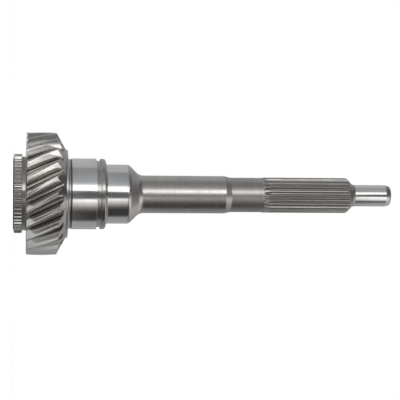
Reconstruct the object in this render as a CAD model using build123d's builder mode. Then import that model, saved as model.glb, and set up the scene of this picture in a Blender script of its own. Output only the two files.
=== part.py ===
from build123d import *
from math import acos, atan, cos, degrees, pi, radians, sin, tan
import os

# Transmission input shaft, forged and machined from one bar of case-hardened steel.
# It stands on its rear face. Z runs along the shaft's axis, from the rear face to the pilot's tip.
# Sizes are millimetres and degrees. Lengths are listed in the order in which they follow each other.

# Dog ring, which the sliding sleeve of the gear change engages
dog_teeth = 54
dog_module = 1.1
dog_addendum = 0.85
dog_dedendum = 0.9
dog_pressure_angle = 30.0
dog_flank_chords = 1
dog_phase = 0.0
dog_ring_length = 7.0
dog_lead_in_height = 4.1
dog_lead_in_length = 1.0

# Neck between the dog ring and the gear
neck_relief = 0.2
neck_length = 3.2
neck_corner_chamfer = 0.6

# Helical gear, left-hand, with its front end turned to a cone
gear_teeth = 23
gear_normal_module = 3.3
gear_helix_angle = 28.0
gear_pressure_angle = 17.5
gear_flank_chords = 2
gear_addendum = 4.5
gear_dedendum = 4.6
gear_foot_inset = 0.8
gear_backlash = 0.1
gear_phase = 0.7
gear_face_width = 23.1
gear_rear_chamfer = 0.5
gear_cone_length = 7.1

# Rim that the bearing's inner ring rests against
rim_diameter = 68.5
rim_length = 1.5

# Bearing seat, with a ground relief at its shoulder
bearing_seat_diameter = 55.0
bearing_seat_length = 22.2
bearing_relief_depth = 0.3
bearing_relief_width = 2.6
bearing_relief_chamfer = 0.7

# Snap-ring groove and the collar in front of it
snap_groove_depth = 1.7
snap_groove_width = 3.2
collar_relief = 0.15
collar_length = 2.7
collar_taper_length = 2.2

# Surface for the oil seal, and the cone down to the slender part
seal_diameter = 46.0
seal_length = 17.35
seal_edge_chamfer = 1.4
cone_angle = 45.0
cone_fillet = 7.0

# Slender part, in two diameters
body_diameter = 29.4
body_length = 67.0
body_taper_length = 4.6
body_front_length = 25.8
spline_step = 0.3

# Clutch splines, hobbed, so that each gap runs out in an arc
spline_teeth = 24
spline_module = 1.09
spline_addendum = 0.77
spline_dedendum = 0.78
spline_pressure_angle = 30.0
spline_flank_chords = 1
spline_phase = 1.9
spline_length = 67.6
spline_run_out_length = 6.8
hob_radius = 19.0
spline_end_angle = 48.0
pilot_fillet = 5.0

# Pilot journal, carried by the bearing in the flywheel
pilot_diameter = 17.0
pilot_length = 27.5
pilot_nose_length = 3.0
pilot_nose_height = 1.3
pilot_nose_radius = 3.0

# Blind bore in the rear face, where the output shaft's nose runs on rollers
spigot_bore_diameter = 38.0
spigot_bore_depth = 30.0
spigot_bore_chamfer = 1.0

# Centre hole in the pilot's tip, left from turning
centre_hole_diameter = 3.2
centre_sink_diameter = 6.7
centre_sink_angle = 60.0
centre_hole_depth = 9.0

# Room by which a cutter passes the surface that it cuts
cutter_reach = 0.4
cutter_overrun = 1.0

# Radii that follow from the teeth
dog_pitch_radius = dog_teeth * dog_module / 2
dog_tip_radius = dog_pitch_radius + dog_addendum
dog_root_radius = dog_pitch_radius - dog_dedendum
neck_radius = dog_root_radius - neck_relief
gear_pitch_radius = gear_teeth * gear_normal_module / cos(radians(gear_helix_angle)) / 2
gear_tip_radius = gear_pitch_radius + gear_addendum
gear_root_radius = gear_pitch_radius - gear_dedendum
gear_lead = 2 * pi * gear_pitch_radius / tan(radians(gear_helix_angle))
gear_transverse_pressure = atan(tan(radians(gear_pressure_angle)) / cos(radians(gear_helix_angle)))
spline_pitch_radius = spline_teeth * spline_module / 2
spline_tip_radius = spline_pitch_radius + spline_addendum
spline_root_radius = spline_pitch_radius - spline_dedendum

# Radii of the turned surfaces
rim_radius = rim_diameter / 2
seat_radius = bearing_seat_diameter / 2
relief_radius = seat_radius - bearing_relief_depth
snap_groove_radius = seat_radius - snap_groove_depth
collar_radius = seat_radius - collar_relief
seal_radius = seal_diameter / 2
body_radius = body_diameter / 2
body_front_radius = spline_tip_radius - spline_step
pilot_radius = pilot_diameter / 2

# Stations along the axis, each from the one behind it
dog_front = dog_ring_length
gear_rear = dog_front + neck_length
gear_front = gear_rear + gear_face_width
rim_rear = gear_front + gear_cone_length
bearing_shoulder = rim_rear + rim_length
relief_front = bearing_shoulder + bearing_relief_width
snap_groove_rear = bearing_shoulder + bearing_seat_length
snap_groove_front = snap_groove_rear + snap_groove_width
collar_front = snap_groove_front + collar_length
seal_rear = collar_front + collar_taper_length
seal_front = seal_rear + seal_length
cone_front = seal_front + (seal_radius - body_radius) / tan(radians(cone_angle))
body_front = cone_front + body_length
taper_front = body_front + body_taper_length
spline_rear = taper_front + body_front_length
spline_full_depth = spline_rear + spline_run_out_length
spline_front = spline_rear + spline_length
pilot_rear = spline_front + (spline_tip_radius - pilot_radius) / tan(radians(spline_end_angle))
pilot_tip = pilot_rear + pilot_length + pilot_nose_length


def involute(angle):
    return tan(angle) - angle


# One gap between two teeth, as a sketch across the shaft at the given height, centred on +X.
# Each flank follows the involute in the given number of chords, and the root is one chord more.
# Below the base circle a straight foot, which stands in for the root fillet, leads in to the root.
def tooth_gap(
    height,
    teeth,
    pitch_radius,
    root_radius,
    outer_radius,
    pressure_angle,
    flank_chords,
    backlash=0.0,
    foot_inset=0.0,
):
    base_radius = pitch_radius * cos(pressure_angle)
    flank_radius = max(base_radius, root_radius)
    chord_rise = (outer_radius - flank_radius) / flank_chords

    def flank_point(radius, side, inset=0.0):
        turn = acos(min(1.0, base_radius / radius))
        half_pitch_gap = pi / (2 * teeth) + backlash / (2 * pitch_radius)
        half_gap = half_pitch_gap + involute(turn) - involute(pressure_angle) - inset / radius
        return (radius * cos(half_gap), side * radius * sin(half_gap))

    def flank(side):
        points = [flank_point(flank_radius + step * chord_rise, side) for step in range(flank_chords + 1)]
        if root_radius < flank_radius:
            points.insert(0, flank_point(root_radius, side, foot_inset))
        return points

    with BuildSketch(Plane.XY.offset(height)) as gap:
        with BuildLine():
            Polyline(*flank(-1), *reversed(flank(1)), close=True)
        make_face()
    return gap.sketch


# Cutter for one gap of the dog ring, straight, through to the neck
dog_gap_section = tooth_gap(
    -cutter_overrun,
    dog_teeth,
    dog_pitch_radius,
    dog_root_radius,
    dog_tip_radius + cutter_reach,
    radians(dog_pressure_angle),
    dog_flank_chords,
)
with BuildPart() as dog_gap:
    extrude(dog_gap_section, amount=cutter_overrun + dog_front + neck_length / 2)

# Cutter for one gap of the gear: its section turns with the helix as it moves along the shaft
gear_cut_rear = gear_rear - cutter_overrun
gear_gap_section = tooth_gap(
    gear_cut_rear,
    gear_teeth,
    gear_pitch_radius,
    gear_root_radius,
    gear_tip_radius + cutter_reach,
    gear_transverse_pressure,
    gear_flank_chords,
    gear_backlash,
    gear_foot_inset,
)
with BuildLine() as gear_cut_path:
    Line((0, 0, gear_cut_rear), (0, 0, rim_rear))
with BuildLine(Plane.XY.offset(gear_cut_rear)) as gear_helix:
    Helix(pitch=gear_lead, height=rim_rear - gear_cut_rear, radius=gear_tip_radius, lefthand=True)
with BuildPart() as gear_gap:
    sweep(gear_gap_section, path=gear_cut_path.line, binormal=gear_helix.line.edges()[0])

# Cutter for one gap of the splines: straight to the front, and out in the hob's arc to the rear
spline_gap_section = tooth_gap(
    spline_full_depth,
    spline_teeth,
    spline_pitch_radius,
    spline_root_radius,
    spline_tip_radius + cutter_reach,
    radians(spline_pressure_angle),
    spline_flank_chords,
)
hob_lift = spline_tip_radius + cutter_reach - spline_root_radius
hob_arc = degrees(acos(1 - hob_lift / hob_radius))
hob_axis = Axis((spline_root_radius + hob_radius, 0, spline_full_depth), (0, 1, 0))
with BuildPart() as spline_gap:
    extrude(spline_gap_section, amount=pilot_rear - spline_full_depth)
    revolve(spline_gap_section, axis=hob_axis, revolution_arc=hob_arc)

# Half section of the turned blank, from the axis at the rear face round to the axis at the tip
dog_lead_in_radius = dog_tip_radius - dog_lead_in_height
nose_radius = pilot_radius - pilot_nose_height
seal_front_corner = (seal_radius, seal_front)
cone_front_corner = (body_radius, cone_front)
pilot_rear_corner = (pilot_radius, pilot_rear)
pilot_nose_corner = (pilot_radius, pilot_rear + pilot_length)
relief_corner = (relief_radius, bearing_shoulder)
neck_corner = (neck_radius, gear_rear)
blank_outline = [
    (0, 0),
    (dog_lead_in_radius, 0),
    (dog_tip_radius, dog_lead_in_length),
    (dog_tip_radius, dog_front),
    (neck_radius, dog_front),
    neck_corner,
    (gear_tip_radius - gear_rear_chamfer, gear_rear),
    (gear_tip_radius, gear_rear + gear_rear_chamfer),
    (gear_tip_radius, gear_front),
    (rim_radius, rim_rear),
    (rim_radius, bearing_shoulder),
    relief_corner,
    (relief_radius, relief_front - bearing_relief_depth),
    (seat_radius, relief_front),
    (seat_radius, snap_groove_rear),
    (snap_groove_radius, snap_groove_rear),
    (snap_groove_radius, snap_groove_front),
    (collar_radius, snap_groove_front),
    (collar_radius, collar_front),
    (seal_radius, seal_rear),
    seal_front_corner,
    cone_front_corner,
    (body_radius, body_front),
    (body_front_radius, taper_front),
    (body_front_radius, spline_rear - spline_step),
    (spline_tip_radius, spline_rear),
    (spline_tip_radius, spline_front),
    pilot_rear_corner,
    pilot_nose_corner,
    (nose_radius, pilot_tip),
    (0, pilot_tip),
]
rounded_corners = [
    (cone_front_corner, cone_fillet),
    (pilot_rear_corner, pilot_fillet),
    (pilot_nose_corner, pilot_nose_radius),
]
chamfered_corners = [
    (neck_corner, neck_corner_chamfer),
    (relief_corner, bearing_relief_chamfer),
    (seal_front_corner, seal_edge_chamfer),
]

with BuildPart() as input_shaft:
    # Turned blank
    with BuildSketch(Plane.XZ) as half_section:
        with BuildLine():
            Polyline(*blank_outline, close=True)
        make_face()
        for corner, radius in rounded_corners:
            fillet(half_section.vertices().sort_by_distance(corner)[0], radius=radius)
        for corner, length in chamfered_corners:
            chamfer(half_section.vertices().sort_by_distance(corner)[0], length=length)
    revolve(axis=Axis.Z)

    # Spigot bore with its lead-in
    spigot_radius = spigot_bore_diameter / 2
    with BuildSketch(Plane.XZ):
        with BuildLine():
            Polyline(
                (0, 0),
                (spigot_radius + spigot_bore_chamfer, 0),
                (spigot_radius, spigot_bore_chamfer),
                (spigot_radius, spigot_bore_depth),
                (0, spigot_bore_depth),
                close=True,
            )
        make_face()
    revolve(axis=Axis.Z, mode=Mode.SUBTRACT)

    # Centre hole in the pilot's tip
    with Locations(Plane.XY.offset(pilot_tip)):
        CounterSinkHole(
            radius=centre_hole_diameter / 2,
            counter_sink_radius=centre_sink_diameter / 2,
            counter_sink_angle=centre_sink_angle,
            depth=centre_hole_depth,
        )

    # Gaps between the dog teeth
    with PolarLocations(0, dog_teeth, start_angle=dog_phase):
        add(dog_gap.part, mode=Mode.SUBTRACT)

    # Gaps between the gear teeth; a crest faces -Y at the front end of the face width
    gear_turn = (gear_front - gear_cut_rear) / gear_lead * 360
    gear_first_gap = -90 + gear_phase + gear_turn + 180 / gear_teeth
    with PolarLocations(0, gear_teeth, start_angle=gear_first_gap):
        add(gear_gap.part, mode=Mode.SUBTRACT)

    # Gaps between the splines; a crest faces -Y
    spline_first_gap = -90 + spline_phase + 180 / spline_teeth
    with PolarLocations(0, spline_teeth, start_angle=spline_first_gap):
        add(spline_gap.part, mode=Mode.SUBTRACT)

input_shaft.part.label = "input_shaft"
os.makedirs("parts", exist_ok=True)
export_step(input_shaft.part, "parts/input_shaft.step")
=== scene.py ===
from math import acos, asin, atan, atan2, cos, degrees, pi, radians, sin, sqrt, tan

import bmesh
import bpy
from mathutils import Matrix, Vector


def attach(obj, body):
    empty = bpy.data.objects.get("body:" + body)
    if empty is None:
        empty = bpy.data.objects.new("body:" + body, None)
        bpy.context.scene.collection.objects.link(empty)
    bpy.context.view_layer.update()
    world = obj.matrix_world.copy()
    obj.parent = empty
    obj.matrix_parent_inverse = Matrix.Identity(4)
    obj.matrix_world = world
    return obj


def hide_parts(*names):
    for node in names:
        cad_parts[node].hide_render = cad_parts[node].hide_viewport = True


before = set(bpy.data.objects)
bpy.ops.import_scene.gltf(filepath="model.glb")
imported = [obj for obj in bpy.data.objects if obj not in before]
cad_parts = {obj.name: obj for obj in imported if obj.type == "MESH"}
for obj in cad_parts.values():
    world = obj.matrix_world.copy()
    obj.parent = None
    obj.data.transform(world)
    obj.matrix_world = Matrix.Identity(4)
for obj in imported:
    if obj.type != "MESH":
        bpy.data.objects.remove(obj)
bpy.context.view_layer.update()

# Dog ring
# The rear end of the shaft, which is one piece of case-hardened steel. 54 straight involute teeth
# are hobbed into a turned ring for the sliding sleeve of the gear change. A plain neck joins the
# ring to the gear, and the rear face has the bore where the output shaft's nose runs.
mm = 0.001
micron = 0.001 * mm
dog_teeth = 54
dog_pitch_radius = 29.7
dog_tip_radius = 30.55
dog_root_radius = 28.8
dog_pressure_angle = radians(30)
dog_turn = 0.0
dog_front = 7.0
dog_lead_in_radius = 26.45
dog_lead_in_length = 1.0
dog_chamfer = 0.5
dog_chamfer_ease = 0.15
dog_margin = 0.05
neck_radius = 28.6
neck_round = 0.8
gear_rear = 10.2
bore_radius = 19.0
bore_depth = 30.0
bore_lead_in = 1.0
core_radius = 27.0
core_front = 32.0

# The parts of a toothed piece, in the order of its materials.
crest_face, flank_face, root_face, neck_face = range(4)
# How far out along half a crest its points lie, and how high in the fillet at a tooth's foot.
crest_shares = (0.0, 0.5, 1.0)
foot_shares = (0.72, 0.45, 0.22, 0.07, 0.0)


def involute(angle):
    return tan(angle) - angle


# The outline of one tooth in polar steps, cut from a bar of the given outer radius. The hob may
# stand further out by lift, and ease narrows the tooth where its ends are chamfered. The steps run
# from the middle of the gap behind the tooth to the last one before the middle of the next gap.
def tooth_outline(form, outer, lift=0.0, ease=0.0):
    teeth, pitch, root, pressure = form["teeth"], form["pitch"], form["root"], form["pressure"]
    fillet, edge_break, steps = form["fillet"], form["edge_break"], form["steps"]
    base = pitch * cos(pressure)
    flank_foot = sqrt((root + fillet) ** 2 - fillet**2)

    def half_tooth(radius):
        turn = acos(min(1.0, base / max(radius, flank_foot)))
        width = pi / (2 * teeth) - form["backlash"] / (2 * pitch)
        return width + involute(pressure) - involute(turn)

    def fillet_angle(radius):
        centre = half_tooth(flank_foot) + asin(fillet / (root + fillet))
        reach = (radius**2 + (root + fillet) ** 2 - fillet**2) / (2 * radius * (root + fillet))
        return centre - acos(min(1.0, reach))

    def wall(radius):
        angle = half_tooth(radius) if radius >= flank_foot else fillet_angle(radius)
        return angle - ease / radius

    top = outer - lift
    low = max(min(top, flank_foot), root)
    shoulder = max(top - edge_break, low)
    flank = [shoulder + (low - shoulder) * step / steps for step in range(steps + 1)]
    foot = [root + (low - root) * share for share in foot_shares]
    crest_half = wall(max(top, root)) - edge_break / outer
    half = [(outer, crest_half * share) for share in crest_shares]
    half += [(min(radius + lift, outer), wall(radius)) for radius in flank + foot]
    root_edge = half[-1][1]
    gap_radius, gap_middle = min(root + lift, outer), pi / teeth
    half += [(gap_radius, (root_edge + gap_middle) / 2), (gap_radius, gap_middle)]
    return [(radius, -angle) for radius, angle in reversed(half[1:])] + half[:-1]


# The part of the tooth that each step of the outline begins.
def tooth_faces(form):
    flank_steps = 1 + form["steps"] + len(foot_shares)
    half = [crest_face] * 2 + [flank_face] * flank_steps + [root_face] * 2
    return list(reversed(half)) + half


# A bar with teeth. Each row is a height, a turn about the shaft, an outline, and what the faces up
# to the next row are, where None leaves it to the tooth's own parts.
def toothed_bar(form, rows, closed_ring=False):
    steps = len(rows[0][2])
    faces = tooth_faces(form)
    bar = bmesh.new()
    column = bar.verts.layers.int.new("column")
    ring = bmesh.ops.create_circle(bar, segments=form["teeth"] * steps, radius=1.0)["verts"]
    for index, vert in enumerate(ring):
        vert[column] = index
    edges = bar.edges[:]
    part = None
    for number, (height, turn, outline, next_part) in enumerate(rows):
        if number > 0:
            made = bmesh.ops.extrude_edge_only(bar, edges=edges)["geom"]
            ring = [item for item in made if isinstance(item, bmesh.types.BMVert)]
            fresh = set(ring)
            edges = [
                item
                for item in made
                if isinstance(item, bmesh.types.BMEdge) and fresh.issuperset(item.verts)
            ]
            for face in (item for item in made if isinstance(item, bmesh.types.BMFace)):
                indices = sorted({vert[column] for vert in face.verts})
                first = indices[-1] if indices[-1] - indices[0] > 1 else indices[0]
                face.material_index = faces[first % steps] if part is None else part
        for vert in ring:
            tooth, step = divmod(vert[column], steps)
            radius, angle = outline[step]
            angle += tooth * 2 * pi / form["teeth"] + turn
            vert.co = (radius * cos(angle), radius * sin(angle), height)
        part = next_part
    if not closed_ring:
        caps = bmesh.ops.holes_fill(bar, edges=bar.edges)["faces"]
        bmesh.ops.poke(bar, faces=caps)
    return bar


# A ring of one radius, with its points at the angles of a tooth outline.
def plain_outline(outline, radius):
    return [(radius, angle) for _, angle in outline]


# Brings a mesh to metres, closes it, and makes it an object that is smooth between its sharp edges.
def finished(mesh, name, materials):
    weld_distance, least_edge, sharp_angle = 0.002 * mm, 0.001 * mm, radians(28)
    bmesh.ops.scale(mesh, vec=(mm, mm, mm), verts=mesh.verts)
    bmesh.ops.remove_doubles(mesh, verts=mesh.verts, dist=weld_distance)
    bmesh.ops.dissolve_degenerate(mesh, edges=mesh.edges, dist=least_edge)
    bmesh.ops.recalc_face_normals(mesh, faces=mesh.faces)
    for face in mesh.faces:
        face.smooth = True
    data = bpy.data.meshes.new(name)
    mesh.to_mesh(data)
    mesh.free()
    data.set_sharp_from_angle(angle=sharp_angle)
    for material in materials:
        data.materials.append(material)
    piece = bpy.data.objects.new(name, data)
    bpy.context.scene.collection.objects.link(piece)
    return piece


# An empty node group with its sockets, and the two nodes that stand for its inputs and outputs.
def node_group(name, inputs, outputs):
    group = bpy.data.node_groups.new(name, "ShaderNodeTree")
    for direction, sockets in (("INPUT", inputs), ("OUTPUT", outputs)):
        for socket, kind in sockets:
            group.interface.new_socket(socket, in_out=direction, socket_type=f"NodeSocket{kind}")
    return group, group.nodes.new("NodeGroupInput"), group.nodes.new("NodeGroupOutput")


def noise(tree, place, scale, detail, roughness):
    node = tree.nodes.new("ShaderNodeTexNoise")
    node.inputs["Scale"].default_value = scale
    node.inputs["Detail"].default_value = detail
    node.inputs["Roughness"].default_value = roughness
    tree.links.new(place, node.inputs["Vector"])
    return node.outputs["Fac"]


# A blend of two colours or two numbers. A Mix node keeps other sockets for each kind.
def mixed(tree, kind, share, first, second):
    first_socket, second_socket, result = {"RGBA": (6, 7, 2), "FLOAT": (2, 3, 0)}[kind]
    node = tree.nodes.new("ShaderNodeMix")
    node.data_type = kind
    tree.links.new(share, node.inputs[0])
    tree.links.new(first, node.inputs[first_socket])
    tree.links.new(second, node.inputs[second_socket])
    return node.outputs[result]


# Fine marks that a tool leaves: noise drawn out along one direction, as a height and as a shade.
def tool_marks_group():
    group, given, result = node_group(
        "tool_marks",
        inputs=(("Vector", "Vector"), ("Stretch", "Vector")),
        outputs=(("Height", "Float"), ("Shade", "Float")),
    )
    stretched = group.nodes.new("ShaderNodeVectorMath")
    stretched.operation = "MULTIPLY"
    group.links.new(given.outputs["Vector"], stretched.inputs[0])
    group.links.new(given.outputs["Stretch"], stretched.inputs[1])
    fine = noise(group, stretched.outputs[0], scale=1.0, detail=3.0, roughness=0.7)
    broad = noise(group, stretched.outputs[0], scale=0.23, detail=2.0, roughness=0.5)
    group.links.new(fine, result.inputs["Height"])
    group.links.new(broad, result.inputs["Shade"])
    return group


# Uneven tone of bare steel: a slow drift between two colours and between two levels of polish.
def steel_tone_group():
    group, given, result = node_group(
        "steel_tone",
        inputs=(
            ("Vector", "Vector"),
            ("Shade", "Float"),
            ("Light", "Color"),
            ("Dark", "Color"),
            ("Polish", "Float"),
            ("Dull", "Float"),
        ),
        outputs=(("Colour", "Color"), ("Roughness", "Float")),
    )
    drift = noise(group, given.outputs["Vector"], scale=45.0, detail=4.0, roughness=0.62)
    blend = group.nodes.new("ShaderNodeMath")
    blend.operation = "ADD"
    spread = group.nodes.new("ShaderNodeMapRange")
    spread.inputs["From Min"].default_value = 0.75
    spread.inputs["From Max"].default_value = 1.25
    group.links.new(drift, blend.inputs[0])
    group.links.new(given.outputs["Shade"], blend.inputs[1])
    group.links.new(blend.outputs[0], spread.inputs["Value"])
    share = spread.outputs["Result"]
    colour = mixed(group, "RGBA", share, given.outputs["Light"], given.outputs["Dark"])
    roughness = mixed(group, "FLOAT", share, given.outputs["Polish"], given.outputs["Dull"])
    group.links.new(colour, result.inputs["Colour"])
    group.links.new(roughness, result.inputs["Roughness"])
    return group


# Painted shade in tooth gaps: the colour darkens towards the foot of each gap, where the teeth
# shade one another.
def painted_gap_shade_group():
    group, given, result = node_group(
        "painted_gap_shade",
        inputs=(
            ("Vector", "Vector"),
            ("Colour", "Color"),
            ("Painted shade colour", "Color"),
            ("Foot radius", "Float"),
            ("Unshaded radius", "Float"),
        ),
        outputs=(("Colour", "Color"),),
    )
    across = group.nodes.new("ShaderNodeVectorMath")
    across.operation = "MULTIPLY"
    across.inputs[1].default_value = (1.0, 1.0, 0.0)
    radius = group.nodes.new("ShaderNodeVectorMath")
    radius.operation = "LENGTH"
    height = group.nodes.new("ShaderNodeMapRange")
    height.interpolation_type = "SMOOTHSTEP"
    group.links.new(given.outputs["Vector"], across.inputs[0])
    group.links.new(across.outputs[0], radius.inputs[0])
    group.links.new(radius.outputs["Value"], height.inputs["Value"])
    group.links.new(given.outputs["Foot radius"], height.inputs["From Min"])
    group.links.new(given.outputs["Unshaded radius"], height.inputs["From Max"])
    foot_shade_colour, colour = given.outputs["Painted shade colour"], given.outputs["Colour"]
    shaded = mixed(group, "RGBA", height.outputs["Result"], foot_shade_colour, colour)
    group.links.new(shaded, result.inputs["Colour"])
    return group


tool_marks = tool_marks_group()
steel_tone = steel_tone_group()
painted_gap_shade = painted_gap_shade_group()


# Bare steel with tool marks. It drifts between a light and a dark colour and between the roughness
# of its polished and its dull places. The marks are in cycles a metre along X, Y and Z, and the
# relief in metres. On teeth, the last argument paints shade towards the foot of the gaps: the
# shade's colour, the radius in mm where the full shade ends, and the radius where the unshaded
# flank starts.
def steel(name, light, dark, polish, dull, marks, relief, painted_shade=None):
    material = bpy.data.materials.new(name)
    material.use_nodes = True
    nodes, links = material.node_tree.nodes, material.node_tree.links
    shader = nodes["Principled BSDF"]
    shader.inputs["Metallic"].default_value = 1.0
    place = nodes.new("ShaderNodeTexCoord")
    scratches = nodes.new("ShaderNodeGroup")
    scratches.node_tree = tool_marks
    scratches.inputs["Stretch"].default_value = marks
    tone = nodes.new("ShaderNodeGroup")
    tone.node_tree = steel_tone
    tone.inputs["Light"].default_value = (*light, 1.0)
    tone.inputs["Dark"].default_value = (*dark, 1.0)
    tone.inputs["Polish"].default_value = polish
    tone.inputs["Dull"].default_value = dull
    bump = nodes.new("ShaderNodeBump")
    bump.inputs["Strength"].default_value = 1.0
    bump.inputs["Distance"].default_value = relief
    links.new(place.outputs["Object"], scratches.inputs["Vector"])
    links.new(place.outputs["Object"], tone.inputs["Vector"])
    links.new(scratches.outputs["Shade"], tone.inputs["Shade"])
    links.new(scratches.outputs["Height"], bump.inputs["Height"])
    colour = tone.outputs["Colour"]
    # Painted shade: the colour darkens towards the foot of each tooth gap.
    if painted_shade:
        foot_shade_colour, foot_radius, unshaded_radius = painted_shade
        shade = nodes.new("ShaderNodeGroup")
        shade.node_tree = painted_gap_shade
        shade.inputs["Painted shade colour"].default_value = (*foot_shade_colour, 1.0)
        shade.inputs["Foot radius"].default_value = foot_radius * mm
        shade.inputs["Unshaded radius"].default_value = unshaded_radius * mm
        links.new(place.outputs["Object"], shade.inputs["Vector"])
        links.new(colour, shade.inputs["Colour"])
        colour = shade.outputs["Colour"]
    links.new(colour, shader.inputs["Base Color"])
    links.new(tone.outputs["Roughness"], shader.inputs["Roughness"])
    links.new(bump.outputs["Normal"], shader.inputs["Normal"])
    return material


turning_marks = (120, 120, 5200)
dog_hob_marks = (900, 900, 900)
dog_ring_steel = steel(
    "dog_ring_steel",
    light=(0.47, 0.465, 0.46),
    dark=(0.41, 0.405, 0.40),
    polish=0.09,
    dull=0.13,
    marks=turning_marks,
    relief=0.2 * micron,
)
# The neck's darker steel is painted shade, where the neck is sunk between the dog ring and the
# gear.
neck_steel_painted_shade = steel(
    "neck_steel_painted_shade",
    light=(0.35, 0.345, 0.34),
    dark=(0.30, 0.295, 0.29),
    polish=0.12,
    dull=0.16,
    marks=turning_marks,
    relief=0.2 * micron,
)
dog_flank_steel = steel(
    "dog_flank_steel",
    light=(0.52, 0.51, 0.49),
    dark=(0.45, 0.44, 0.42),
    polish=0.07,
    dull=0.11,
    marks=dog_hob_marks,
    relief=0.1 * micron,
)
dog_root_steel = steel(
    "dog_root_steel",
    light=(0.22, 0.21, 0.20),
    dark=(0.17, 0.16, 0.155),
    polish=0.10,
    dull=0.15,
    marks=dog_hob_marks,
    relief=0.2 * micron,
)

dog_form = {
    "teeth": dog_teeth,
    "pitch": dog_pitch_radius,
    "root": dog_root_radius,
    "pressure": dog_pressure_angle,
    "fillet": 0.3,
    "edge_break": 0.12,
    "backlash": 0.0,
    "steps": 4,
}
dog_angles = tooth_outline(dog_form, dog_tip_radius)


def dog_row(height, outer, ease=0.0, part=None):
    return (height, dog_turn, tooth_outline(dog_form, outer, ease=ease), part)


def dog_ring_row(height, radius, part=crest_face):
    return (height, dog_turn, plain_outline(dog_angles, radius), part)


# The teeth start on the lead-in's slope, and end in the chamfer at the neck. A row close to each
# end of their straight stretch, and one just before the neck's round, keep the shading straight.
lead_in_slope = (dog_tip_radius - dog_lead_in_radius) / dog_lead_in_length
root_height = (dog_root_radius - dog_lead_in_radius) / lead_in_slope
lead_in_shares = (0.03, 0.35, 0.7, 1.0)
neck_round_shares = ((1.0, 0.0), (0.62, 0.08), (0.29, 0.29), (0.08, 0.62))
dog_rows = [
    dog_ring_row(bore_depth, bore_radius),
    dog_ring_row(bore_lead_in, bore_radius),
    dog_ring_row(0.0, bore_radius + bore_lead_in),
    dog_ring_row(0.0, dog_lead_in_radius),
    dog_ring_row(root_height, dog_root_radius),
]
for share in lead_in_shares:
    height = root_height + (dog_lead_in_length - root_height) * share
    dog_rows.append(dog_row(height, dog_lead_in_radius + height * lead_in_slope))
dog_rows += [
    dog_row(dog_lead_in_length + dog_margin, dog_tip_radius),
    dog_row(dog_front - dog_chamfer - dog_margin, dog_tip_radius),
    dog_row(dog_front - dog_chamfer, dog_tip_radius),
    dog_row(dog_front, dog_tip_radius - dog_chamfer, ease=dog_chamfer_ease, part=crest_face),
    dog_ring_row(dog_front, neck_radius, part=neck_face),
    dog_ring_row(gear_rear - neck_round - dog_margin, neck_radius, part=neck_face),
]
for back, out in neck_round_shares:
    height, radius = gear_rear - neck_round * back, neck_radius + neck_round * out
    dog_rows.append(dog_ring_row(height, radius, part=neck_face))
dog_rows += [
    dog_ring_row(gear_rear, neck_radius + neck_round),
    dog_ring_row(gear_rear, core_radius),
    dog_ring_row(core_front, core_radius),
]
dog_ring = finished(
    toothed_bar(dog_form, dog_rows),
    "dog_ring",
    [dog_ring_steel, dog_flank_steel, dog_root_steel, neck_steel_painted_shade],
)
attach(dog_ring, "root")
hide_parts("input_shaft")

# Drive gear
# 23 left-hand helical teeth, hobbed and ground, in one piece of steel with the shaft. Their front
# ends are turned to a cone, and in front of it stands the rim that the bearing's inner ring rests
# against.
gear_teeth = 23
gear_module = 3.3
gear_addendum = 4.5
gear_dedendum = 4.6
gear_helix = radians(28)
gear_pressure_angle = radians(17.5)
gear_pitch_radius = gear_teeth * gear_module / cos(gear_helix) / 2
gear_tip_radius = gear_pitch_radius + gear_addendum
gear_root_radius = gear_pitch_radius - gear_dedendum
gear_lead = 2 * pi * gear_pitch_radius / tan(gear_helix)
gear_phase = radians(0.7)
gear_chamfer = 0.5
gear_chamfer_ease = 0.3
gear_web_radius = gear_root_radius - 2.0
gear_front = 33.3
rim_rear = 40.4
bearing_shoulder = 41.9
rim_radius = 34.25
rim_chamfer = 0.3
gear_form = {
    "teeth": gear_teeth,
    "pitch": gear_pitch_radius,
    "root": gear_root_radius,
    "pressure": atan(tan(gear_pressure_angle) / cos(gear_helix)),
    "fillet": 1.8,
    "edge_break": 0.15,
    "backlash": 0.1,
    "steps": 8,
}
gear_angles = tooth_outline(gear_form, gear_tip_radius)


# A crest faces -Y, turned by the phase, at the front end of the full face width.
def gear_turn(height):
    return radians(-90) + gear_phase - (height - gear_front) * 2 * pi / gear_lead


def gear_row(height, outer, ease=0.0):
    return (height, gear_turn(height), tooth_outline(gear_form, outer, ease=ease), None)


def gear_ring_row(height, radius):
    return (height, gear_turn(height), plain_outline(gear_angles, radius), crest_face)


cone_slope = (gear_tip_radius - rim_radius) / (rim_rear - gear_front)
cone_root = gear_front + (gear_tip_radius - gear_root_radius) / cone_slope
cone_margin = 0.02
face_rear = gear_rear + gear_chamfer
face_steps = 20
cone_steps = 16
gear_rows = [
    gear_ring_row(bearing_shoulder, core_radius),
    gear_ring_row(gear_rear, core_radius),
    gear_ring_row(gear_rear, gear_web_radius),
    gear_row(gear_rear, gear_tip_radius - gear_chamfer, ease=gear_chamfer_ease),
]
for step in range(face_steps + 1):
    height = face_rear + (gear_front - face_rear) * step / face_steps
    gear_rows.append(gear_row(height, gear_tip_radius))
for step in range(1, cone_steps + 1):
    height = gear_front + (cone_root - gear_front) * step / cone_steps
    gear_rows.append(gear_row(height, gear_tip_radius - (height - gear_front) * cone_slope))
gear_rows += [
    gear_ring_row(cone_root + cone_margin, gear_root_radius - cone_margin * cone_slope),
    gear_ring_row(rim_rear, rim_radius),
    gear_ring_row(bearing_shoulder - rim_chamfer, rim_radius),
    gear_ring_row(bearing_shoulder, rim_radius - rim_chamfer),
    gear_ring_row(bearing_shoulder, core_radius),
]
gear_grinding_marks = (1500, 1500, 700)
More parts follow.
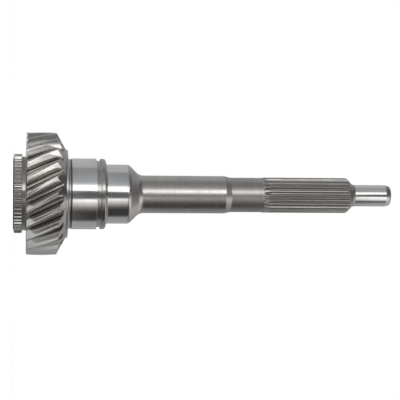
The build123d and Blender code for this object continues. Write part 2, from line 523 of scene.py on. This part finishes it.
# Painted shade at the foot of the gear's gaps: its colour, the radius where it is full, and the
# radius where it has faded out.
gear_painted_foot_shade = (0.20, 0.185, 0.17)
gear_full_shade_end = gear_root_radius + 0.6
gear_unshaded_start = gear_root_radius + 3.0
# The flanks' colour is lifted above that of the ground seat. This is painted light that brightens
# the light bounced deep between the teeth.
gear_flank_steel_painted_light_and_shade = steel(
    "gear_flank_steel_painted_light_and_shade",
    light=(0.89, 0.88, 0.86),
    dark=(0.84, 0.83, 0.81),
    polish=0.15,
    dull=0.21,
    marks=gear_grinding_marks,
    relief=0.2 * micron,
    painted_shade=(gear_painted_foot_shade, gear_full_shade_end, gear_unshaded_start),
)
# The gap bottoms are dull hobbed steel, and their dark colour is partly painted shade.
gear_root_steel_and_painted_shade = steel(
    "gear_root_steel_and_painted_shade",
    light=(0.36, 0.35, 0.34),
    dark=(0.30, 0.29, 0.28),
    polish=0.24,
    dull=0.30,
    marks=gear_grinding_marks,
    relief=0.4 * micron,
)
gear_crest_steel = steel(
    "gear_crest_steel",
    light=(0.50, 0.495, 0.485),
    dark=(0.44, 0.435, 0.425),
    polish=0.17,
    dull=0.23,
    marks=(140, 140, 5200),
    relief=0.3 * micron,
)
gear = finished(
    toothed_bar(gear_form, gear_rows, closed_ring=True),
    "drive_gear",
    [gear_crest_steel, gear_flank_steel_painted_light_and_shade, gear_root_steel_and_painted_shade],
)
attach(gear, "root")
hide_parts("input_shaft")

# Bearing journal and shank
# Turned on the same piece of steel: the bearing's seat with its ground relief and snap-ring groove,
# a collar, the oil seal's surface, a cone, and the slender shank. Seat and seal surface are ground
# bright.
shoulder_slope = 0.7
relief_radius = 27.2
undercut_radius = 26.8
undercut_rear = 43.6
undercut_slope = 0.25
undercut_front = 44.6
seat_radius = 27.5
seat_rear = 44.95
groove_radius = 25.8
groove_rear = 64.1
groove_front = 67.3
collar_radius = 27.35
collar_front = 70.8
seal_radius = 23.0
seal_rear = 71.95
seal_front = 89.55
shank_radius = 14.7
cone_front = 97.85
shank_front = 164.85
front_shank_radius = 13.55
taper_front = 169.45
spline_rear = 194.95
edge_round = 0.25
groove_round = 0.15
collar_round = 1.2
cone_rear_round = 1.9
cone_front_round = 2.9
taper_round = 0.5


# A turned piece, spun from half of its section. A corner is a radius, a height and, where it is
# rounded, how far along its edges the rounding starts. The limits are the heights where one
# material ends and the next begins.
def turned(corners, limits, turns):
    bar = bmesh.new()
    verts = [bar.verts.new((corner[0], 0.0, corner[1])) for corner in corners]
    for first, second in zip(verts, verts[1:]):
        bar.edges.new((first, second))
    for vert, corner in zip(verts, corners):
        if len(corner) > 2:
            bmesh.ops.bevel(
                bar,
                geom=[vert],
                offset=corner[2],
                offset_type="OFFSET",
                affect="VERTICES",
                segments=6,
                profile=0.5,
                material=-1,
            )
    # A point close to each end of a long run keeps its shading straight up to the rounded corners.
    long_run, margin, tolerance = 0.7, 0.04, 0.001
    for edge in bar.edges[:]:
        length = edge.calc_length()
        if length > long_run:
            far_end = edge.verts[1]
            bmesh.utils.edge_split(edge, edge.verts[0], margin / length)
            rest = next(
                item
                for item in far_end.link_edges
                if abs(item.calc_length() - length + margin) < tolerance
            )
            bmesh.utils.edge_split(rest, far_end, margin / (length - margin))
    bmesh.ops.spin(
        bar,
        geom=bar.verts[:] + bar.edges[:],
        cent=(0, 0, 0),
        axis=(0, 0, 1),
        dvec=(0, 0, 0),
        angle=2 * pi,
        steps=turns,
        use_merge=True,
    )
    for face in bar.faces:
        height = face.calc_center_median().z
        face.material_index = sum(height > limit for limit in limits)
    return bar


turned_steel = steel(
    "turned_steel",
    light=(0.50, 0.49, 0.48),
    dark=(0.43, 0.42, 0.41),
    polish=0.15,
    dull=0.21,
    marks=turning_marks,
    relief=0.5 * micron,
)
ground_steel = steel(
    "ground_steel",
    light=(0.66, 0.66, 0.665),
    dark=(0.60, 0.60, 0.605),
    polish=0.10,
    dull=0.15,
    marks=(160, 160, 9000),
    relief=0.4 * micron,
)
shank_turning_marks = (90, 90, 4200)
shank_steel = steel(
    "shank_steel",
    light=(0.49, 0.479, 0.466),
    dark=(0.42, 0.41, 0.40),
    polish=0.26,
    dull=0.33,
    marks=shank_turning_marks,
    relief=1.0 * micron,
)
front_shank_steel = steel(
    "front_shank_steel",
    light=(0.41, 0.40, 0.39),
    dark=(0.35, 0.34, 0.33),
    polish=0.33,
    dull=0.39,
    marks=shank_turning_marks,
    relief=0.4 * micron,
)
undercut_steel = steel(
    "undercut_steel",
    light=(0.20, 0.19, 0.18),
    dark=(0.15, 0.14, 0.135),
    polish=0.30,
    dull=0.38,
    marks=turning_marks,
    relief=0.6 * micron,
)
collar_steel = steel(
    "collar_steel",
    light=(0.42, 0.41, 0.395),
    dark=(0.36, 0.35, 0.335),
    polish=0.16,
    dull=0.22,
    marks=turning_marks,
    relief=0.4 * micron,
)
journal_corners = [
    (0.0, core_front),
    (core_radius, core_front),
    (core_radius, bearing_shoulder),
    (relief_radius + shoulder_slope, bearing_shoulder),
    (relief_radius, bearing_shoulder + shoulder_slope, edge_round),
    (relief_radius, undercut_rear),
    (undercut_radius, undercut_rear + undercut_slope),
    (undercut_radius, undercut_front),
    (seat_radius, seat_rear),
    (seat_radius, groove_rear, edge_round),
    (groove_radius, groove_rear, groove_round),
    (groove_radius, groove_front, groove_round),
    (collar_radius, groove_front, edge_round),
    (collar_radius, collar_front, collar_round),
    (seal_radius, seal_rear, edge_round),
    (seal_radius, seal_front, cone_rear_round),
    (shank_radius, cone_front, cone_front_round),
    (shank_radius, shank_front, taper_round),
    (front_shank_radius, taper_front, taper_round),
    (front_shank_radius, spline_rear),
    (0.0, spline_rear),
]
seat_grinding_rear = seat_rear - 0.05
seat_grinding_front = groove_rear - 0.1
seal_grinding_front = seal_front - 1.6
journal_finishes = (
    (undercut_rear, turned_steel),
    (seat_grinding_rear, undercut_steel),
    (seat_grinding_front, ground_steel),
    (seal_rear, collar_steel),
    (seal_grinding_front, ground_steel),
    (shank_front, shank_steel),
    (spline_rear, front_shank_steel),
)
journal = finished(
    turned(journal_corners, limits=[end for end, _ in journal_finishes[:-1]], turns=192),
    "bearing_journal",
    [finish for _, finish in journal_finishes],
)
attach(journal, "root")
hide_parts("input_shaft")

# Clutch splines
# 24 splines that carry the clutch disc's hub, hobbed into the same piece of steel. To the rear each
# gap runs out in the hob's arc. To the front the bar is turned to a cone, which rounds over into
# the pilot.
spline_teeth = 24
spline_step_radius = 13.85
spline_pitch_radius = 13.08
spline_root_radius = 12.3
spline_pressure_angle = radians(30)
spline_turn = radians(-90) + radians(1.9)
run_out_rear = spline_rear + 0.3
run_out_steps = 18
spline_full_depth = 202.05
spline_front = 262.85
spline_front_round = 3.5
spline_margin = 0.1
hob_radius = 19.0
pilot_radius = 8.5
pilot_rear = 267.667
pilot_rear_round = 3.4
pilot_start = 269.2
pilot_tip = 298.167
spline_form = {
    "teeth": spline_teeth,
    "pitch": spline_pitch_radius,
    "root": spline_root_radius,
    "pressure": spline_pressure_angle,
    "fillet": 0.3,
    "edge_break": 0.12,
    "backlash": 0.0,
    "steps": 5,
}
spline_angles = tooth_outline(spline_form, spline_step_radius)


def spline_row(height, outer):
    behind = max(0.0, spline_full_depth - height)
    lift = hob_radius - sqrt(hob_radius**2 - behind**2)
    return (height, spline_turn, tooth_outline(spline_form, outer, lift=lift), None)


def spline_ring_row(height, radius):
    return (height, spline_turn, plain_outline(spline_angles, radius), crest_face)


# Points (height, radius) on the arc that rounds the middle one of three corners.
def rounded_corner(before, corner, after, radius, segments):
    corner = Vector(corner)
    first = (Vector(before) - corner).normalized()
    second = (Vector(after) - corner).normalized()
    half = first.angle(second) / 2
    centre = corner + (first + second).normalized() * (radius / sin(half))
    start = corner + first * (radius / tan(half)) - centre
    end = corner + second * (radius / tan(half)) - centre
    sweep = start.angle(end)
    return [
        centre + (start * sin(sweep * (1 - share)) + end * sin(sweep * share)) / sin(sweep)
        for share in (step / segments for step in range(segments + 1))
    ]


spline_start = (spline_rear, spline_step_radius)
spline_corner = (spline_front, spline_step_radius)
pilot_corner = (pilot_rear, pilot_radius)
pilot_end = (pilot_tip, pilot_radius)
spline_end = rounded_corner(
    spline_start, spline_corner, pilot_corner, radius=spline_front_round, segments=6
)
pilot_fillet = rounded_corner(
    spline_corner, pilot_corner, pilot_end, radius=pilot_rear_round, segments=8
)
slope = [spline_end[-1].lerp(pilot_fillet[0], share) for share in (0.25, 0.5, 0.75)]
spline_rows = [spline_ring_row(spline_rear, front_shank_radius)]
for step in range(run_out_steps + 1):
    height = run_out_rear + (spline_full_depth - run_out_rear) * step / run_out_steps
    spline_rows.append(spline_row(height, spline_step_radius))
spline_rows.append(spline_row(spline_full_depth + spline_margin, spline_step_radius))
spline_rows.append(spline_row(spline_end[0][0] - spline_margin, spline_step_radius))
for height, radius in spline_end + slope + pilot_fillet:
    if radius > spline_root_radius:
        spline_rows.append(spline_row(height, radius))
    else:
        spline_rows.append(spline_ring_row(height, radius))
spline_rows.append(spline_ring_row(pilot_start, pilot_radius))
spline_hob_marks = (900, 900, 300)
spline_flank_steel = steel(
    "spline_flank_steel",
    light=(0.35, 0.34, 0.33),
    dark=(0.30, 0.29, 0.28),
    polish=0.27,
    dull=0.33,
    marks=spline_hob_marks,
    relief=0.1 * micron,
)
spline_root_steel = steel(
    "spline_root_steel",
    light=(0.30, 0.29, 0.28),
    dark=(0.25, 0.24, 0.23),
    polish=0.27,
    dull=0.33,
    marks=spline_hob_marks,
    relief=0.1 * micron,
)
splines = finished(
    toothed_bar(spline_form, spline_rows),
    "clutch_splines",
    [front_shank_steel, spline_flank_steel, spline_root_steel],
)
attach(splines, "root")
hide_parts("input_shaft")

# Pilot
# The shaft's steel tip, ground for the pilot bearing in the flywheel, with a rounded nose and the
# centre hole that the shaft was turned on.
nose_radius = 7.2
nose_rear = 295.167
nose_rear_round = 1.2
nose_front_round = 0.5
pilot_grinding_front = nose_rear - 1.0
centre_hole_radius = 1.6
centre_hole_depth = 9.0
centre_sink_radius = 3.35
centre_sink_depth = 3.03
centre_sink_round = 0.15
pilot_corners = [
    (0.0, pilot_start),
    (pilot_radius, pilot_start),
    (pilot_radius, nose_rear, nose_rear_round),
    (nose_radius, pilot_tip, nose_front_round),
    (centre_sink_radius, pilot_tip, centre_sink_round),
    (centre_hole_radius, pilot_tip - centre_sink_depth),
    (centre_hole_radius, pilot_tip - centre_hole_depth),
    (0.0, pilot_tip - centre_hole_depth),
]
pilot = finished(
    turned(pilot_corners, limits=[pilot_grinding_front], turns=128),
    "pilot_journal",
    [ground_steel, shank_steel],
)
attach(pilot, "root")
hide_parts("input_shaft")

# Studio
# A pale floor on a white background. Round the shaft stands a tent of light and dark bands that
# only its steel reflects, as the photographer's boards and soft lights do on polished metal.
tent_radius = 0.7
tent_height = 1.6
tent_foot = 0.0006
tent_top_radius = 0.001

# Each band is a direction, in degrees from -Y towards -X, with its light there and how warm that
# is. Between two directions the light changes evenly.
back_bands = ((-180, 0.16, 0.0), (-172, 0.16, 0.0), (-164, 0.38, 0.0), (-150, 0.47, 0.0))
back_end = ((150, 0.60, -0.01), (164, 0.40, 0.0), (172, 0.16, 0.0), (180, 0.16, 0.0))
neck_bands = back_bands + (
    (-135, 0.42, 0.0), (-110, 0.22, 0.0), (-92, 0.06, 0.0), (-60, 0.05, 0.05), (-45, 0.10, 0.04),
    (-32, 0.20, 0.03), (-24, 0.60, 0.02), (-17, 0.80, 0.02), (-12, 0.35, 0.0), (2, 0.30, 0.0),
    (8, 0.60, 0.0), (12, 3.50, 0.0), (24, 3.50, 0.0), (29, 1.20, 0.0), (38, 0.60, -0.01),
    (54, 0.34, -0.02), (85, 0.20, -0.01), (100, 0.22, 0.0), (125, 0.30, 0.0), (150, 0.36, 0.0),
    (164, 0.30, 0.0), (172, 0.16, 0.0), (180, 0.16, 0.0),
)
crest_bands = (
    (-180, 0.20, 0.0), (-160, 0.45, 0.0), (-115, 0.60, 0.0), (-83, 0.75, 0.0), (-52, 0.46, 0.0),
    (-20, 0.38, 0.0), (-5, 0.48, 0.0), (10, 0.64, 0.0), (35, 0.60, 0.0), (45, 0.42, 0.0),
    (60, 0.24, 0.0), (70, 0.14, 0.0), (80, 0.18, 0.0), (100, 0.28, 0.0), (130, 0.50, 0.0),
    (160, 0.50, 0.0), (180, 0.20, 0.0),
)
journal_bands = back_bands + (
    (-104, 0.44, -0.01), (-101, 0.33, 0.0), (-92, 0.08, 0.0), (-84, 0.05, 0.05),
    (-63, 0.05, 0.08), (-55, 0.11, 0.05), (-45, 0.32, 0.04), (-38, 0.64, 0.03), (-29, 1.00, 0.03),
    (-23, 1.55, 0.02), (-18, 1.65, 0.02), (-15, 0.20, 0.0), (0, 0.12, 0.0), (9, 0.20, 0.0),
    (12, 2.30, 0.0), (24, 2.30, 0.0), (31, 0.80, 0.0), (39, 0.54, -0.02), (60, 0.45, -0.02),
    (84, 0.38, -0.02), (90, 0.40, 0.0), (97, 0.59, -0.01),
) + back_end
shank_bands = back_bands + (
    (-120, 0.36, 0.0), (-104, 0.36, 0.0), (-93, 0.15, 0.0), (-84, 0.06, 0.0), (-52, 0.06, 0.04),
    (-38, 0.22, 0.04), (-26, 0.50, 0.03), (-17, 0.55, 0.02), (-13, 0.20, 0.0), (6, 0.20, 0.0),
    (10, 3.20, 0.02), (24, 3.20, 0.02), (30, 0.55, 0.0), (60, 0.33, 0.0), (90, 0.35, 0.0),
    (97, 0.60, 0.0),
) + back_end
pilot_bands = back_bands + (
    (-100, 0.50, 0.0), (-86, 0.36, 0.0), (-74, 0.14, 0.03), (-62, 0.16, 0.05), (-52, 0.70, 0.04),
    (-40, 1.20, 0.04), (-22, 1.60, 0.03), (-14, 1.40, 0.02), (-9, 0.20, 0.0), (10, 0.14, 0.0),
    (15, 0.30, 0.0), (18, 2.60, 0.0), (30, 2.60, 0.0), (36, 0.60, 0.0), (60, 0.48, -0.02),
    (88, 0.46, -0.02), (100, 0.60, 0.0),
) + back_end
high_bands = (
    (-180, 0.40, 0.0), (-150, 0.50, 0.0), (-135, 0.75, 0.02), (-70, 0.85, 0.02),
    (-50, 1.30, 0.02), (-22, 1.30, 0.02), (-12, 0.30, 0.0), (0, 0.13, 0.0), (20, 0.14, 0.0),
    (95, 0.17, 0.0), (105, 0.50, 0.0), (150, 0.44, 0.0), (180, 0.36, 0.0),
)
ceiling_bands = (
    (-180, 0.36, 0.0), (-90, 0.33, 0.0), (-10, 0.28, 0.0), (10, 0.26, 0.0), (90, 0.24, 0.0),
    (180, 0.32, 0.0),
)
foot_bands = (
    (-180, 0.40, 0.0), (-90, 0.26, 0.0), (-62, 0.30, 0.0), (-42, 0.46, 0.0), (-15, 0.55, 0.0),
    (50, 0.50, 0.0), (90, 0.50, 0.0), (180, 0.40, 0.0),
)
floor_bands = (
    (-180, 0.40, 0.0), (-100, 0.40, 0.0), (-60, 0.12, 0.0), (-30, 0.12, 0.0), (-20, 0.50, 0.0),
    (0, 0.15, 0.0), (14, 0.80, 0.0), (24, 0.80, 0.0), (35, 0.30, 0.0), (50, 1.60, 0.0),
    (100, 1.60, 0.0), (115, 0.60, 0.0), (180, 0.40, 0.0),
)
# The tent's section, from the floor near the shaft up the wall to the middle of the ceiling: the
# radius and height of each row, and its bands.
tent_section = (
    (0.033, tent_foot, foot_bands),
    (0.12, tent_foot, foot_bands),
    (0.15, tent_foot, floor_bands),
    (0.32, tent_foot, floor_bands),
    (0.45, tent_foot, neck_bands),
    (tent_radius, tent_foot, neck_bands),
    (tent_radius, 0.022, neck_bands),
    (tent_radius, 0.028, crest_bands),
    (tent_radius, 0.048, crest_bands),
    (tent_radius, 0.060, journal_bands),
    (tent_radius, 0.132, journal_bands),
    (tent_radius, 0.165, shank_bands),
    (tent_radius, 0.40, shank_bands),
    (tent_radius, 0.435, pilot_bands),
    (tent_radius, 0.48, pilot_bands),
    (tent_radius, 0.55, high_bands),
    (tent_radius, 1.25, high_bands),
    (tent_radius, tent_height, ceiling_bands),
    (tent_top_radius, tent_height, ceiling_bands),
)


def band_light(bands, direction):
    for (start, start_level, start_warmth), (end, end_level, end_warmth) in zip(bands, bands[1:]):
        if start <= direction <= end:
            share = (direction - start) / (end - start)
            level = start_level + (end_level - start_level) * share
            warmth = start_warmth + (end_warmth - start_warmth) * share
            return (level * (1 + warmth), level, level * (1 - warmth), 1.0)


tent_mesh = bmesh.new()
tent_row = tent_mesh.verts.layers.int.new("row")
tent_light = tent_mesh.verts.layers.float_color.new("light")
tent_chain = []
for row, (radius, height, _) in enumerate(tent_section):
    vert = tent_mesh.verts.new((0.0, radius, height))
    vert[tent_row] = row
    tent_chain.append(vert)
tent_edges = [tent_mesh.edges.new(pair) for pair in zip(tent_chain, tent_chain[1:])]
bmesh.ops.spin(
    tent_mesh,
    geom=tent_chain + tent_edges,
    cent=(0, 0, 0),
    axis=(0, 0, 1),
    dvec=(0, 0, 0),
    angle=2 * pi,
    steps=360,
    use_merge=True,
)
for vert in tent_mesh.verts:
    direction = degrees(atan2(-vert.co.x, -vert.co.y))
    bands = tent_section[vert[tent_row]][2]
    vert[tent_light] = band_light(bands, max(-180, min(180, direction)))
tent_data = bpy.data.meshes.new("light_tent")
tent_mesh.to_mesh(tent_data)
tent_mesh.free()
tent_glow = bpy.data.materials.new("tent_glow")
tent_glow.use_nodes = True
tent_nodes, tent_links = tent_glow.node_tree.nodes, tent_glow.node_tree.links
tent_nodes.remove(tent_nodes["Principled BSDF"])
tent_colour = tent_nodes.new("ShaderNodeAttribute")
tent_colour.attribute_name = "light"
tent_shine = tent_nodes.new("ShaderNodeEmission")
tent_links.new(tent_colour.outputs["Color"], tent_shine.inputs["Color"])
tent_links.new(tent_shine.outputs[0], tent_nodes["Material Output"].inputs["Surface"])
tent_glow.cycles.emission_sampling = "NONE"
tent_data.materials.append(tent_glow)
tent = bpy.data.objects.new("light_tent", tent_data)
bpy.context.scene.collection.objects.link(tent)
tent.visible_camera = False
tent.visible_diffuse = False
tent.visible_shadow = False
tent.visible_transmission = False

floor_half_width = 4.0
floor_mesh = bmesh.new()
bmesh.ops.create_grid(floor_mesh, x_segments=1, y_segments=1, size=floor_half_width)
floor_data = bpy.data.meshes.new("floor")
floor_mesh.to_mesh(floor_data)
floor_mesh.free()
floor_material = bpy.data.materials.new("pale_floor")
floor_material.use_nodes = True
floor_shader = floor_material.node_tree.nodes["Principled BSDF"]
floor_shader.inputs["Base Color"].default_value = (0.93, 0.93, 0.93, 1.0)
floor_shader.inputs["Roughness"].default_value = 0.9
floor_shader.inputs["Specular IOR Level"].default_value = 0.0
floor_data.materials.append(floor_material)
floor = bpy.data.objects.new("floor", floor_data)
bpy.context.scene.collection.objects.link(floor)

# The background is white to the camera, to metal and to glass, and a little dimmer as a light.
background_light = 0.75
world = bpy.data.worlds.new("white_background")
world.use_nodes = True
bpy.context.scene.world = world
world_nodes, world_links = world.node_tree.nodes, world.node_tree.links
background = world_nodes["Background"]
background.inputs["Color"].default_value = (1.0, 1.0, 1.0, 1.0)
seen = world_nodes.new("ShaderNodeLightPath")
camera_or_glossy = world_nodes.new("ShaderNodeMath")
camera_or_glossy.operation = "MAXIMUM"
any_seen = world_nodes.new("ShaderNodeMath")
any_seen.operation = "MAXIMUM"
level = world_nodes.new("ShaderNodeMapRange")
level.inputs["To Min"].default_value = background_light
level.inputs["To Max"].default_value = 1.0
world_links.new(seen.outputs["Is Camera Ray"], camera_or_glossy.inputs[0])
world_links.new(seen.outputs["Is Glossy Ray"], camera_or_glossy.inputs[1])
world_links.new(camera_or_glossy.outputs[0], any_seen.inputs[0])
world_links.new(seen.outputs["Is Transmission Ray"], any_seen.inputs[1])
world_links.new(any_seen.outputs[0], level.inputs["Value"])
world_links.new(level.outputs["Result"], background.inputs["Strength"])

lamp_target = Vector((0, 0, 0.12))


# A square soft lamp that polished metal doesn't mirror.
def lamp(name, place, size, watts):
    data = bpy.data.lights.new(name, "AREA")
    data.shape = "SQUARE"
    data.size = size
    data.energy = watts
    thing = bpy.data.objects.new(name, data)
    bpy.context.scene.collection.objects.link(thing)
    thing.location = place
    aim = lamp_target - Vector(place)
    thing.rotation_euler = aim.to_track_quat("-Z", "Y").to_euler()
    thing.visible_glossy = False


lamp("key_lamp", place=(-1.1, -1.3, 1.6), size=0.9, watts=22)
lamp("fill_lamp", place=(1.4, -0.9, 1.2), size=1.2, watts=12)

# Camera
# It looks at the upright shaft from the side and a little from below, rolled so that the shaft lies
# across the picture with its pilot to the right, as in the photograph.
camera_lens = 131.4
camera_place = Vector((0.0, -1.1385, 0.0005))
camera_aim = Vector((0.0042, 0.0, 0.1459))
camera_roll = radians(0.345)
forward = (camera_aim - camera_place).normalized()
right = (Vector((0, 0, 1)) - forward * forward.z).normalized()
up = right.cross(forward)
rolled_right = right * cos(camera_roll) + up * sin(camera_roll)
rolled_up = rolled_right.cross(forward)
camera_data = bpy.data.cameras.new("camera")
camera_data.lens = camera_lens
camera_data.sensor_width = 36.0
camera_data.clip_start = 0.01
camera = bpy.data.objects.new("camera", camera_data)
bpy.context.scene.collection.objects.link(camera)
camera_turn = Matrix((rolled_right, rolled_up, -forward)).transposed().to_4x4()
camera.matrix_world = Matrix.Translation(camera_place) @ camera_turn
bpy.context.scene.camera = camera
bpy.context.scene.view_settings.view_transform = "Standard"
